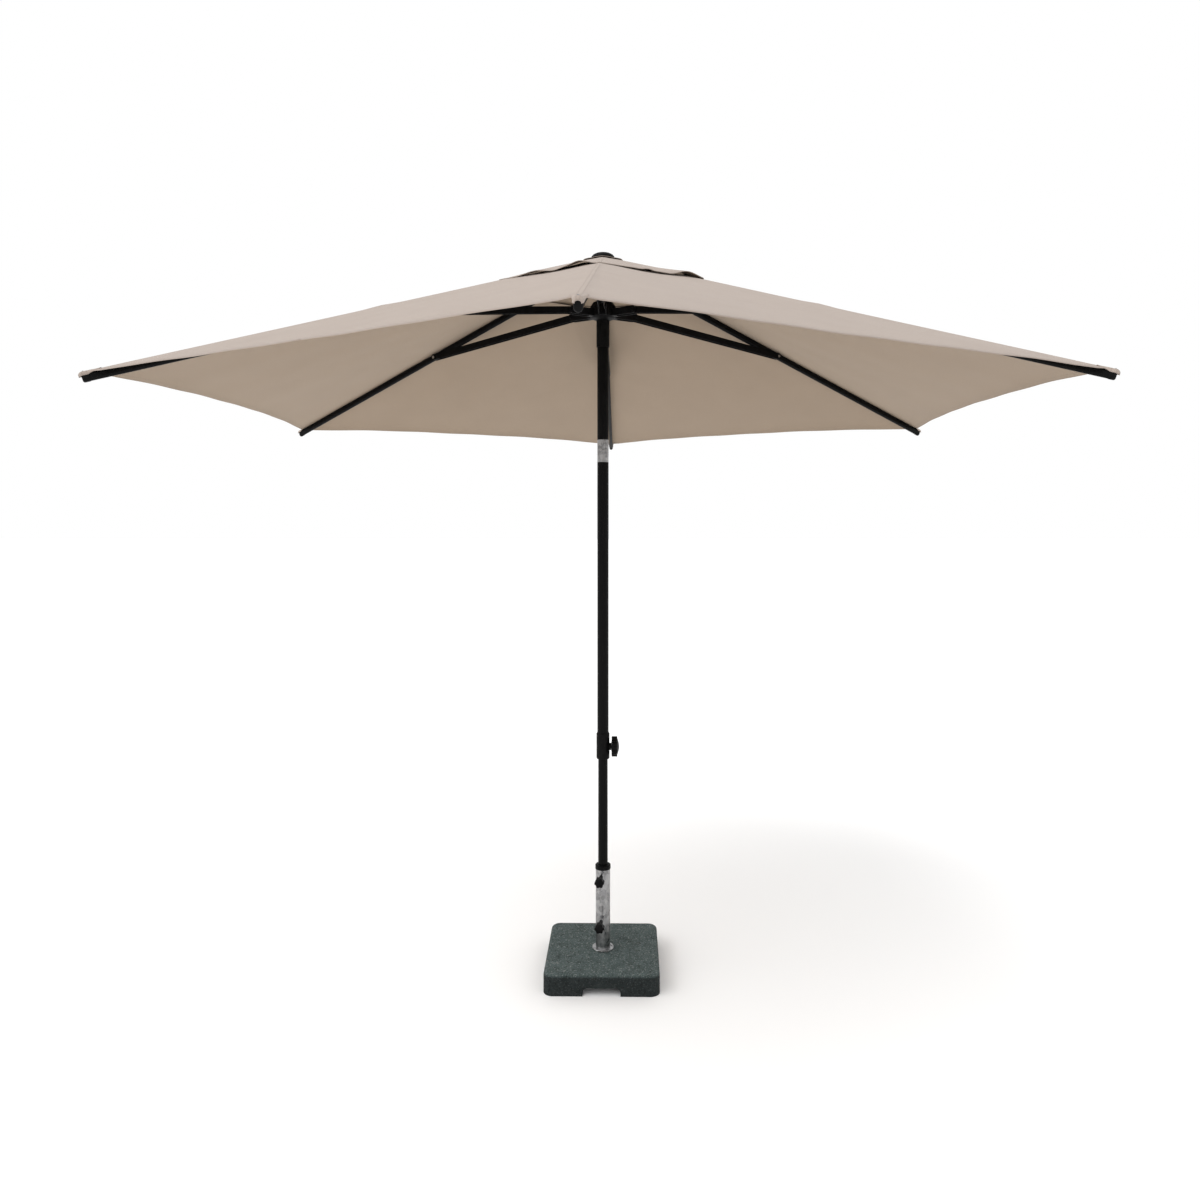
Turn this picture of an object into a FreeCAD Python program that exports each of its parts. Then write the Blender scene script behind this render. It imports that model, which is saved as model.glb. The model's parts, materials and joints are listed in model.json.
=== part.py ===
import FreeCAD, Part
import Sketcher
import math
import os
import re

# A push-up patio umbrella: a hexagonal canopy on six ribs, a two-part pole with a tilt joint and a
# height clamp, and a stone block with a steel socket tube. Millimetres, +Z up. The origin is the centre
# of the block's underside, and -Y is the front, where one rib and the socket tube's two knobs point.

SIZES = {
    # canopy and ribs
    "canopy_radius": 1500,
    "rib_slope": 18.6,
    "rib_width": 15,
    "rib_height": 24,
    "rib_wall": 0.8,
    "rib_start": 26,
    "cap_length": 17,
    "cap_round": 5,
    "fabric_thickness": 1,
    "fabric_gap": 2,
    "fabric_setback": 16,
    "hem_scallop": 58,
    "vent_hole": 300,
    "vent_radius": 360,
    "vent_slope": 15.6,
    "vent_rise": 30.5,
    "vent_eye": 14,
    "stud_setback": 7.5,
    # crown and finial
    "hinge_radius": 45,
    "hinge_height": 2350,
    "crown_radius": 52,
    "crown_slot": 5,
    "crown_pin": 10.8,
    "crown_low": 2328,
    "crown_high": 2362,
    "finial_radius": 40.5,
    "finial_top": 2394,
    # struts and runner
    "pivot_reach": 740,
    "arm_reach": 120,
    "arm_height": 2190,
    "arm_half": 12,
    "arm_inside": 10,
    "arm_outside": 13,
    "strut_height": 22,
    "strut_width": 19,
    "strut_wall": 1.5,
    "strut_fork": 120,
    "runner_low": 2079,
    "runner_high": 2227,
    "runner_radius": 43,
    "sleeve_radius": 21.8,
    # pole
    "pole_radius": 19,
    "tube_wall": 1.2,
    "lower_radius": 16,
    "lower_foot": 72,
    "lower_top": 1200,
    "mast_foot": 716,
    "mast_top": 1693,
    "tilt_seam": 1722,
    "tilt_height": 1742,
    "tilt_top": 1768,
    "tongue_width": 12,
    "tongue_radius": 9,
    "tongue_clearance": 1.2,
    "wedge_angle": 32,
    "button_height": 1732,
    "button_radius": 4,
    "button_seat": 11,
    "button_back": 15,
    "spring_wire": 0.4,
    "spring_radius": 2.5,
    "pole_top": 2345,
    # height clamp
    "clamp_radius": 22,
    "clamp_foot": 700,
    "clamp_top": 788,
    "clamp_height": 740,
    "clamp_knob_radius": 34,
    "clamp_knob_lobe": 9.5,
    "clamp_knob_depth": 19,
    "clamp_knob_valley": 5,
    # base
    "block_side": 370,
    "block_height": 66,
    "block_corner": 30,
    "block_round": 10,
    "channel_width": 120,
    "channel_height": 25,
    "flange_radius": 35.75,
    "flange_thickness": 4,
    "socket_radius": 24.15,
    "socket_wall": 2.6,
    "socket_top": 338,
    "upper_knob_height": 323,
    "lower_knob_height": 176,
    "base_knob_radius": 16,
    "base_knob_lobe": 5,
    "base_knob_depth": 18,
    "base_knob_valley": 2.6,
    "base_knob_reach": 88,
    "base_knob_turn": -95,
    # fasteners and fits
    "pin_radius": 3,
    "bolt_radius": 4,
    "screw_radius": 2,
    "screw_circle": 30,
    "screw_length": 26,
    "screw_turn": -103,
    "running_gap": 0.05,
    "seat_gap": 0.03,
    "clear_gap": 0.3,
}

RIB_COUNT = 6
RIB_STEP = 360 / RIB_COUNT
FIRST_RIB = -90
SCREW_COUNT = 3

X_AXIS = FreeCAD.Vector(1, 0, 0)
Y_AXIS = FreeCAD.Vector(0, 1, 0)
Z_AXIS = FreeCAD.Vector(0, 0, 1)

doc = FreeCAD.newDocument("patio_umbrella")
sheet = doc.addObject("Spreadsheet::Sheet", "Sizes")
for row, (alias, value) in enumerate(SIZES.items(), start=1):
    sheet.set(f"A{row}", alias)
    sheet.set(f"B{row}", str(value))
    sheet.setAlias(f"B{row}", alias)
doc.recompute()

nodes = []


def formula(text):
    """An expression in which each size's name points at its cell of the sheet."""
    return re.sub(r"[a-z_]+", lambda word: f"Sizes.{word[0]}" if word[0] in SIZES else word[0], str(text))


def number(text):
    """What an expression comes to."""
    return float(sheet.evalExpression(formula(text)))


def bind(thing, **properties):
    """Bind properties to expressions; two underscores in a name stand for a dot."""
    for name, text in properties.items():
        thing.setExpression(name.replace("__", "."), formula(text))
    return thing


def node(thing, label):
    """Mark a finished sub-part for export under this name."""
    thing.Label = label
    nodes.append(thing)
    return thing


def turn(axis, angle):
    return FreeCAD.Rotation(axis, angle)


def azimuth(angle):
    """A placement turned about the pole's axis."""
    return FreeCAD.Placement(FreeCAD.Vector(), turn(Z_AXIS, angle))


def rib_azimuths():
    return [FIRST_RIB + RIB_STEP * i for i in range(RIB_COUNT)]


# ---------------------------------------------------------------- makers of plain shapes


def new_body(name):
    return doc.addObject("PartDesign::Body", name)


def sketch_on(body, role, offset="0"):
    """An empty sketch on one of the body's own origin planes, moved along the plane's normal."""
    sketch = body.newObject("Sketcher::SketchObject", body.Name + "_sketch")
    plane = next(f for f in body.Origin.OriginFeatures if f.Role == role)
    sketch.AttachmentSupport = [(plane, "")]
    sketch.MapMode = "FlatFace"
    bind(sketch, AttachmentOffset__Base__z=offset)
    return sketch


def fix_point(sketch, geometry, point, place):
    """Hold a point of the sketch at two expressions measured from the sketch's origin."""
    for kind, text in zip(("DistanceX", "DistanceY"), place):
        index = sketch.addConstraint(Sketcher.Constraint(kind, -1, 1, geometry, point, number(text)))
        sketch.setExpression(f"Constraints[{index}]", formula(text))


def add_outline(sketch, corners):
    """A closed outline of straight edges through the given corners, each a pair of expressions."""
    places = [FreeCAD.Vector(number(u), number(v), 0) for u, v in corners]
    following = places[1:] + places[:1]
    edges = [sketch.addGeometry(Part.LineSegment(a, b), False) for a, b in zip(places, following)]
    for this, after in zip(edges, edges[1:] + edges[:1]):
        sketch.addConstraint(Sketcher.Constraint("Coincident", this, 2, after, 1))
    for edge, corner in zip(edges, corners):
        fix_point(sketch, edge, 1, corner)


def add_circle(sketch, centre, radius):
    place = FreeCAD.Vector(number(centre[0]), number(centre[1]), 0)
    circle = sketch.addGeometry(Part.Circle(place, Z_AXIS, number(radius)), False)
    fix_point(sketch, circle, 3, centre)
    index = sketch.addConstraint(Sketcher.Constraint("Radius", circle, number(radius)))
    sketch.setExpression(f"Constraints[{index}]", formula(radius))


def add_stadium(sketch, radius, straight):
    """An upright oval: two half circles of this radius, each centred this far above or below the origin."""
    size, rise = number(radius), number(straight)
    top = Part.ArcOfCircle(Part.Circle(FreeCAD.Vector(0, rise, 0), Z_AXIS, size), 0, math.pi)
    low = Part.ArcOfCircle(Part.Circle(FreeCAD.Vector(0, -rise, 0), Z_AXIS, size), math.pi, 2 * math.pi)
    left = Part.LineSegment(FreeCAD.Vector(-size, rise, 0), FreeCAD.Vector(-size, -rise, 0))
    right = Part.LineSegment(FreeCAD.Vector(size, -rise, 0), FreeCAD.Vector(size, rise, 0))
    top, left, low, right = [sketch.addGeometry(g, False) for g in (top, left, low, right)]
    for first, second in ((top, left), (left, low), (low, right), (right, top)):
        sketch.addConstraint(Sketcher.Constraint("Tangent", first, 2, second, 1))
    fix_point(sketch, top, 3, ("0", straight))
    fix_point(sketch, low, 3, ("0", f"-({straight})"))
    index = sketch.addConstraint(Sketcher.Constraint("Radius", top, size))
    sketch.setExpression(f"Constraints[{index}]", formula(radius))


def pad(body, sketch, length, both_ways=False):
    """Material from a sketch along its plane's normal, or the same amount to both sides."""
    feature = body.newObject("PartDesign::Pad", body.Name + "_pad")
    feature.Profile = sketch
    feature.SideType = "Symmetric" if both_ways else "One side"
    bind(feature, Length=length)
    doc.recompute()
    return feature


def pocket(body, sketch, length):
    """A cut from a sketch, half of its length to each side of the plane."""
    before = body.Shape.Volume
    feature = body.newObject("PartDesign::Pocket", body.Name + "_pocket")
    feature.Profile = sketch
    feature.SideType = "Symmetric"
    bind(feature, Length=length)
    doc.recompute()
    if body.Shape.Volume >= before:
        raise RuntimeError(f"{body.Name}: the pocket cuts nothing")
    return feature


def turned(name, outline):
    """A body of revolution about Z; the outline's corners are (radius, height) expressions."""
    body = new_body(name)
    sketch = sketch_on(body, "XZ_Plane")
    add_outline(sketch, outline)
    feature = body.newObject("PartDesign::Revolution", name + "_revolution")
    feature.Profile = sketch
    feature.ReferenceAxis = (sketch, ["V_Axis"])
    feature.Angle = 360
    return body


def ring(name, outer, inner, low, high):
    return turned(name, [(inner, low), (outer, low), (outer, high), (inner, high)])


def stand_at(thing, place):
    """Keep a shape's own origin at three expressions."""
    thing.Placement.Base = FreeCAD.Vector(*[number(text) for text in place])
    x, y, z = place
    return bind(thing, Placement__Base__x=x, Placement__Base__y=y, Placement__Base__z=z)


def cylinder(name, radius, length, start=("0", "0", "0"), axis=Z_AXIS):
    """A Part cylinder from a start point along an axis."""
    rod = doc.addObject("Part::Cylinder", name)
    rod.Placement.Rotation = FreeCAD.Rotation(Z_AXIS, axis)
    bind(rod, Radius=radius, Height=length)
    return stand_at(rod, start)


def block(name, low, high):
    """A Part box between two corners given as expressions."""
    box = doc.addObject("Part::Box", name)
    sides = [f"({b}) - ({a})" for a, b in zip(low, high)]
    bind(box, Length=sides[0], Width=sides[1], Height=sides[2])
    return stand_at(box, low)


def joined(name, pieces):
    fuse = doc.addObject("Part::MultiFuse", name)
    fuse.Shapes = pieces
    return fuse


def cut(name, base, tools):
    """The base with every tool taken away."""
    result = doc.addObject("Part::Cut", name)
    result.Base = base
    result.Tool = joined(name + "_tools", tools) if len(tools) > 1 else tools[0]
    return result


def group(name, pieces):
    """Separate solids that share one node."""
    compound = doc.addObject("Part::Compound", name)
    compound.Links = pieces
    return compound


def placed(thing, placement):
    """Move a shape by a placement that comes after its own, which no longer follows the sheet."""
    for axis in "xyz":
        thing.setExpression(f"Placement.Base.{axis}", None)
    thing.Placement = placement.multiply(thing.Placement)
    return thing


# ---------------------------------------------------------------- base


def screw_azimuths():
    return [number("screw_turn") + 360 / SCREW_COUNT * i for i in range(SCREW_COUNT)]


def screw_holes(prefix, radius):
    low = "block_height + flange_thickness - screw_length"
    holes = []
    for index, angle in enumerate(screw_azimuths()):
        hole = cylinder(f"{prefix}_{index}", radius, "screw_length + 5", ("screw_circle", "0", low))
        holes.append(placed(hole, azimuth(angle)))
    return holes


def make_base_block():
    """A stone slab with rounded corners and a lifting channel from front to back under it."""
    body = new_body("base_slab")
    half = "block_side / 2"
    sketch = sketch_on(body, "XY_Plane")
    add_outline(sketch, [(f"-{half}", f"-{half}"), (half, f"-{half}"), (half, half), (f"-{half}", half)])
    slab = pad(body, sketch, "block_height")
    upright = [
        f"Edge{i}"
        for i, edge in enumerate(slab.Shape.Edges, start=1)
        if abs(edge.tangentAt(edge.FirstParameter).z) > 0.9
    ]
    corners = body.newObject("PartDesign::Fillet", "base_slab_corners")
    corners.Base = (slab, upright)
    bind(corners, Radius="block_corner")
    doc.recompute()
    rim = [
        f"Edge{i}"
        for i, edge in enumerate(corners.Shape.Edges, start=1)
        if edge.BoundBox.ZMin > number("block_height") - 0.1
    ]
    rounded = body.newObject("PartDesign::Fillet", "base_slab_rim")
    rounded.Base = (corners, rim)
    bind(rounded, Radius="block_round")
    doc.recompute()
    side = "channel_width / 2"
    bevel = "channel_height / 2.2"
    sketch = sketch_on(body, "XZ_Plane")
    add_outline(
        sketch,
        [
            (f"-{side}", "-5"),
            (side, "-5"),
            (side, f"channel_height - {bevel}"),
            (f"{side} - 0.3 * {bevel}", f"channel_height - 0.3 * {bevel}"),
            (f"{side} - {bevel}", "channel_height"),
            (f"-({side} - {bevel})", "channel_height"),
            (f"-({side} - 0.3 * {bevel})", f"channel_height - 0.3 * {bevel}"),
            (f"-{side}", f"channel_height - {bevel}"),
        ],
    )
    pocket(body, sketch, "block_side + 20")
    holes = screw_holes("block_hole", "screw_radius + seat_gap")
    node(cut("base_block_solid", body, holes), "base_block")


def make_flange():
    low = "block_height"
    high = "block_height + flange_thickness"
    edge = "flange_radius - 1"
    disc = turned("flange_disc", [("0", low), ("flange_radius", low), ("flange_radius", f"{high} - 1"),
                                  (edge, high), ("0", high)])
    holes = screw_holes("flange_hole", "screw_radius + seat_gap")
    node(cut("base_flange_solid", disc, holes), "base_flange")
    head_low = f"{high} + 0.05"
    screws = []
    for index, angle in enumerate(screw_azimuths()):
        shank = "screw_radius"
        screw = turned(
            f"flange_screw_{index}",
            [
                ("0", f"{high} - screw_length + 2"),
                (shank, f"{high} - screw_length + 2"),
                (shank, head_low),
                ("screw_radius * 1.9", head_low),
                ("screw_radius * 1.7", f"{high} + 1.3"),
                ("screw_radius * 0.8", f"{high} + 1.7"),
                ("0", f"{high} + 1.7"),
            ],
        )
        reach = FreeCAD.Placement(FreeCAD.Vector(number("screw_circle"), 0, 0), FreeCAD.Rotation())
        screws.append(placed(screw, azimuth(angle).multiply(reach)))
    node(group("flange_screw_group", screws), "flange_screws")


def knob_holes(prefix, radius):
    """The two cross holes of the base knobs' bolts, from the pole's surface outwards."""
    holes = []
    for name in ("upper", "lower"):
        start = ("0", "0", f"{name}_knob_height")
        hole = cylinder(f"{prefix}_{name}", radius, "socket_radius + 20", start, X_AXIS)
        holes.append(placed(hole, azimuth(number("base_knob_turn"))))
    return holes


def make_socket_tube():
    foot = "block_height + flange_thickness"
    tube = ring("socket_pipe", "socket_radius", "socket_radius - socket_wall", foot, "socket_top")
    node(cut("base_tube_solid", tube, knob_holes("pipe_hole", "bolt_radius + 0.1")), "base_tube")
    inner = "socket_radius - socket_wall - seat_gap"
    bore = "lower_radius + 0.1"
    collar = turned(
        "collar_turned",
        [
            (bore, "socket_top - 40"),
            (inner, "socket_top - 40"),
            (inner, "socket_top"),
            ("socket_radius + seat_gap", "socket_top"),
            ("socket_radius + seat_gap", "socket_top - 6"),
            ("socket_radius + 1.4", "socket_top - 6"),
            ("socket_radius + 1.4", "socket_top + 6"),
            ("socket_radius - 0.6", "socket_top + 8"),
            (bore, "socket_top + 8"),
        ],
    )
    node(cut("collar_solid", collar, knob_holes("collar_hole", "bolt_radius + 0.3")), "tube_collar")
    nuts = []
    for name in ("upper", "lower"):
        nut = doc.addObject("Part::Prism", f"socket_nut_{name}")
        nut.Polygon = 6
        nut.Placement.Rotation = FreeCAD.Rotation(Z_AXIS, X_AXIS)
        bind(nut, Circumradius="bolt_radius * 1.9", Height="9")
        stand_at(nut, ("socket_radius - 2.5", "0", f"{name}_knob_height"))
        middle = ("0", "0", f"{name}_knob_height")
        below = ("0", "0", f"{name}_knob_height - 30")
        tools = [
            cylinder(f"nut_bore_{name}", "bolt_radius + running_gap", "socket_radius + 20", middle, X_AXIS),
            cylinder(f"nut_seat_{name}", "socket_radius + seat_gap", "60", below),
        ]
        nuts.append(placed(cut(f"socket_nut_solid_{name}", nut, tools), azimuth(number("base_knob_turn"))))
    node(group("socket_nut_group", nuts), "tube_nuts")


def star_knob(name, outline, radius, lobe, low, thickness, lobes):
    """A turned hand knob with round lobes about its rim; its axis is Z."""
    body = turned(name, outline)
    doc.recompute()
    sketch = sketch_on(body, "XY_Plane", low)
    add_circle(sketch, (f"{radius} - {lobe}", "0"), lobe)
    feature = pad(body, sketch, thickness)
    pattern = body.newObject("PartDesign::PolarPattern", name + "_lobes")
    pattern.Originals = [feature]
    axis = next(f for f in body.Origin.OriginFeatures if f.Role == "Z_Axis")
    pattern.Axis = (axis, [""])
    pattern.Angle = 360
    pattern.Occurrences = lobes
    body.Tip = pattern
    doc.recompute()
    return body


def lying(height, angle):
    """The placement of a knob or bolt whose own Z axis points outwards at this azimuth."""
    outward = azimuth(angle).Rotation.multVec(X_AXIS)
    return FreeCAD.Placement(FreeCAD.Vector(0, 0, number(height)), FreeCAD.Rotation(Z_AXIS, outward))


def make_base_knob(name):
    """One of the long-necked star knobs that press the pole against the socket tube."""
    reach = "base_knob_reach"
    bore = "bolt_radius + seat_gap"
    rim = "base_knob_radius - base_knob_valley"
    knob = star_knob(
        f"base_knob_body_{name}",
        [
            (bore, f"{reach} - 36"),
            ("bolt_radius + 2", f"{reach} - 36"),
            ("bolt_radius + 5.5", reach),
            (rim, f"{reach} + 1"),
            (rim, f"{reach} + base_knob_depth + 1"),
            (f"{rim} - 4", f"{reach} + 21.5"),
            ("0", f"{reach} + 22"),
            ("0", f"{reach} + 12"),
            (bore, f"{reach} + 12"),
        ],
        "base_knob_radius", "base_knob_lobe", f"{reach} + 1", "base_knob_depth", 6,
    )
    angle = number("base_knob_turn")
    node(placed(knob, lying(f"{name}_knob_height", angle)), f"base_knob_{name}")
    start = "lower_radius + clear_gap"
    bolt = turned(
        f"base_bolt_body_{name}",
        [
            ("0", start),
            ("bolt_radius - 1", start),
            ("bolt_radius", f"{start} + 1"),
            ("bolt_radius", f"{reach} + 11.9"),
            ("0", f"{reach} + 11.9"),
        ],
    )
    node(placed(bolt, lying(f"{name}_knob_height", angle)), f"base_bolt_{name}")


# ---------------------------------------------------------------- pole


def make_lower_pole():
    bore = "lower_radius - tube_wall"
    node(ring("lower_tube_body", "lower_radius", bore, "lower_foot", "lower_top"), "lower_tube")
    stem = f"{bore} - seat_gap"
    node(
        turned("lower_plug_body", [
            ("0", "lower_foot - 1.7"), ("lower_radius - 1", "lower_foot - 1.7"),
            ("lower_radius - 0.1", "lower_foot - 1"), ("lower_radius - 0.1", "lower_foot"),
            (stem, "lower_foot"), (stem, "lower_foot + 24"), ("0", "lower_foot + 24"),
        ]),
        "lower_tube_foot",
    )
    glide = "pole_radius - tube_wall - 0.2"
    node(
        turned("lower_cap_body", [
            ("0", "lower_top - 25"), (stem, "lower_top - 25"), (stem, "lower_top"), (glide, "lower_top"),
            (glide, "lower_top + 5"), ("0", "lower_top + 5"),
        ]),
        "lower_tube_glide",
    )


def make_mast():
    """The outer tube, which slides on the lower tube, and its height clamp."""
    hole_start = ("0", "0", "clamp_height")
    tube = ring("mast_pipe", "pole_radius", "pole_radius - tube_wall", "mast_foot", "mast_top")
    hole = cylinder("mast_hole", "bolt_radius + clear_gap", "40", hole_start, X_AXIS)
    node(cut("mast_tube_solid", tube, [hole]), "mast_tube")
    bush = ring("clamp_bush_ring", "pole_radius - tube_wall - seat_gap", "lower_radius + 0.1", "mast_foot",
                "mast_foot + 60")
    hole = cylinder("bush_hole", "bolt_radius + clear_gap", "40", hole_start, X_AXIS)
    node(cut("clamp_bush_solid", bush, [hole]), "clamp_bush")
    wide = "pole_radius + running_gap"
    sleeve = turned(
        "clamp_sleeve_body",
        [
            ("lower_radius + 0.1", "clamp_foot"),
            ("clamp_radius - 2", "clamp_foot"),
            ("clamp_radius", "clamp_foot + 2.5"),
            ("clamp_radius", "clamp_top - 4"),
            ("clamp_radius - 2.5", "clamp_top"),
            (wide, "clamp_top"),
            (wide, "mast_foot - 0.05"),
            ("lower_radius + 0.1", "mast_foot - 0.05"),
        ],
    )
    boss = cylinder("clamp_boss", "12", "7.5", ("clamp_radius - 2", "0", "clamp_height"), X_AXIS)
    hole = cylinder("sleeve_hole", "bolt_radius + 0.1", "40", hole_start, X_AXIS)
    node(cut("clamp_sleeve_solid", joined("clamp_shell", [sleeve, boss]), [hole]), "clamp_sleeve")


def make_clamp_knob():
    start = "clamp_radius + 6"
    bore = "bolt_radius + seat_gap"
    rim = "clamp_knob_radius - clamp_knob_valley"
    knob = star_knob(
        "clamp_knob_body",
        [
            (bore, start),
            ("14.5", start),
            ("16", f"{start} + 0.5"),
            (rim, f"{start} + 1.2"),
            (rim, f"{start} + clamp_knob_depth"),
            (f"{rim} - 4", f"{start} + clamp_knob_depth + 2"),
            ("14", f"{start} + 24.5"),
            ("6", f"{start} + 26"),
            ("0", f"{start} + 26"),
            ("0", f"{start} + 17"),
            (bore, f"{start} + 17"),
        ],
        "clamp_knob_radius", "clamp_knob_lobe", f"{start} + 1", "clamp_knob_depth", 6,
    )
    node(placed(knob, lying("clamp_height", 0)), "clamp_knob")
    inner = "lower_radius + clear_gap"
    bolt = turned(
        "clamp_bolt_body",
        [
            ("0", inner),
            ("bolt_radius - 1", inner),
            ("bolt_radius", f"{inner} + 1"),
            ("bolt_radius", f"{start} + 16.9"),
            ("0", f"{start} + 16.9"),
        ],
    )
    node(placed(bolt, lying("clamp_height", 0)), "clamp_bolt")


def make_tilt_joint():
    """A tongue on the mast in a slotted knuckle on the upper tube, with a cross pin and a sprung button."""
    plug = "pole_radius - tube_wall - seat_gap"
    seam = "tilt_seam - 0.2"
    post = turned(
        "tilt_post",
        [
            ("0", "mast_top - 55"),
            (plug, "mast_top - 55"),
            (plug, "mast_top"),
            ("pole_radius - 0.1", "mast_top + 0.05"),
            ("pole_radius - 0.1", seam),
            ("0", seam),
        ],
    )
    half = "tongue_width / 2"
    neck = block("tilt_neck", (f"-{half}", "-tongue_radius", "tilt_seam - 5"),
                 (half, "tongue_radius", "tilt_height"))
    crest = cylinder("tilt_crest", "tongue_radius", "tongue_width", (f"-{half}", "0", "tilt_height"), X_AXIS)
    bore = cylinder("tongue_bore", "pin_radius + running_gap", "60", ("-30", "0", "tilt_height"), X_AXIS)
    node(cut("tilt_socket_solid", joined("tilt_tongue", [post, neck, crest]), [bore]), "tilt_socket")

    knuckle = turned(
        "tilt_knuckle_turned",
        [
            ("0", "tilt_seam + 0.2"),
            ("pole_radius - 0.1", "tilt_seam + 0.2"),
            ("pole_radius - 0.1", "tilt_top - 0.05"),
            (plug, "tilt_top"),
            (plug, "tilt_top + 55"),
            ("0", "tilt_top + 55"),
        ],
    )
    gap = f"{half} + clear_gap"
    slot = block("tilt_slot", (f"-({gap})", "-(tongue_radius + tongue_clearance)", "tilt_seam - 5"),
                 (gap, "30", "tilt_height + tongue_radius + tongue_clearance"))
    # the back of the knuckle is cut away at a slope, so that the upper pole can lean back
    wedge = doc.addObject("Part::Box", "tilt_wedge")
    wedge.Placement.Rotation = turn(X_AXIS, number("wedge_angle"))
    bind(wedge, Length="60", Width="60", Height="30")
    stand_at(wedge, ("-30", "30 * sin(wedge_angle)", "tilt_seam + 0.2 - 30 * cos(wedge_angle)"))
    hole = cylinder("knuckle_hole", "pin_radius + seat_gap", "60", ("-30", "0", "tilt_height"), X_AXIS)
    button_bore = cylinder("button_bore", "button_radius + 0.1", "30",
                           ("0", "-button_seat", "button_height"), -Y_AXIS)
    node(cut("tilt_knuckle_solid", knuckle, [slot, wedge, hole, button_bore]), "tilt_knuckle")

    pin = cylinder("tilt_pin_rod", "pin_radius", "(pole_radius - 0.7) * 2",
                   ("-(pole_radius - 0.7)", "0", "tilt_height"), X_AXIS)
    node(pin, "tilt_pin")
    button = turned(
        "tilt_button_body",
        [
            ("0", "button_back"),
            ("button_radius", "button_back"),
            ("button_radius", "pole_radius - 0.6"),
            ("button_radius - 1.2", "pole_radius + 0.1"),
            ("0", "pole_radius + 0.3"),
        ],
    )
    node(placed(button, lying("button_height", -90)), "tilt_button")


def make_button_spring():
    """A small coil behind the tilt button, at rest in its bore."""
    wire, radius, turns = number("spring_wire"), number("spring_radius"), 3
    low = number("button_seat + spring_wire + running_gap")
    high = number("button_back - spring_wire - running_gap")
    helix = Part.makeHelix((high - low) / turns, high - low, radius)
    section = Part.Wire(Part.makeCircle(wire, FreeCAD.Vector(radius, 0, 0), Y_AXIS))
    spring = doc.addObject("Part::Feature", "tilt_spring_coil")
    spring.Shape = Part.Wire(helix).makePipeShell([section], True, True)
    foot = FreeCAD.Placement(FreeCAD.Vector(0, 0, low), FreeCAD.Rotation())
    spring.Placement = lying("button_height", -90).multiply(foot)
    node(spring, "tilt_spring")


def make_upper_pole():
    tube = ring("upper_tube_body", "pole_radius", "pole_radius - tube_wall", "tilt_top", "pole_top")
    node(tube, "upper_tube")

    bore = "pole_radius + running_gap"
    hub = turned(
        "crown_turned",
        [
            (bore, "crown_low"),
            ("crown_radius - 8", "crown_low"),
            ("crown_radius", "crown_low + 5"),
            ("crown_radius", "crown_high - 3"),
            ("crown_radius - 4", "crown_high"),
            ("5 + seat_gap", "crown_high"),
            ("5 + seat_gap", "pole_top + 0.05"),
            (bore, "pole_top + 0.05"),
        ],
    )
    tools = []
    pins = []
    for index, angle in enumerate(rib_azimuths()):
        slot = block(f"crown_slot_{index}", ("hinge_radius - 9.5", "-crown_slot", "crown_low - 5"),
                     ("crown_radius + 5", "crown_slot", "crown_high + 5"))
        hole = cylinder(f"crown_hole_{index}", "pin_radius + seat_gap", "(crown_pin + 0.2) * 2",
                        ("hinge_radius", "crown_pin + 0.2", "hinge_height"), -Y_AXIS)
        pin = cylinder(f"crown_pin_{index}", "pin_radius", "crown_pin * 2",
                       ("hinge_radius", "crown_pin", "hinge_height"), -Y_AXIS)
        tools += [placed(slot, azimuth(angle)), placed(hole, azimuth(angle))]
        pins.append(placed(pin, azimuth(angle)))
    node(cut("crown_hub_solid", hub, tools), "crown_hub")
    node(group("crown_pin_group", pins), "crown_pins")

    node(
        turned("finial_body", [
            ("0", "pole_top + 2"), ("5", "pole_top + 2"), ("5", "finial_top - 12.6"),
            ("finial_radius - 3", "finial_top - 21.4"), ("finial_radius - 0.5", "finial_top - 21.8"),
            ("finial_radius", "finial_top - 19"), ("finial_radius - 1.5", "finial_top - 13"),
            ("finial_radius - 6", "finial_top - 7.5"), ("finial_radius - 14", "finial_top - 3"),
            ("finial_radius - 25", "finial_top - 0.7"), ("0", "finial_top"),
        ]),
        "finial",
    )


# ---------------------------------------------------------------- runner, ribs and struts


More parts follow.
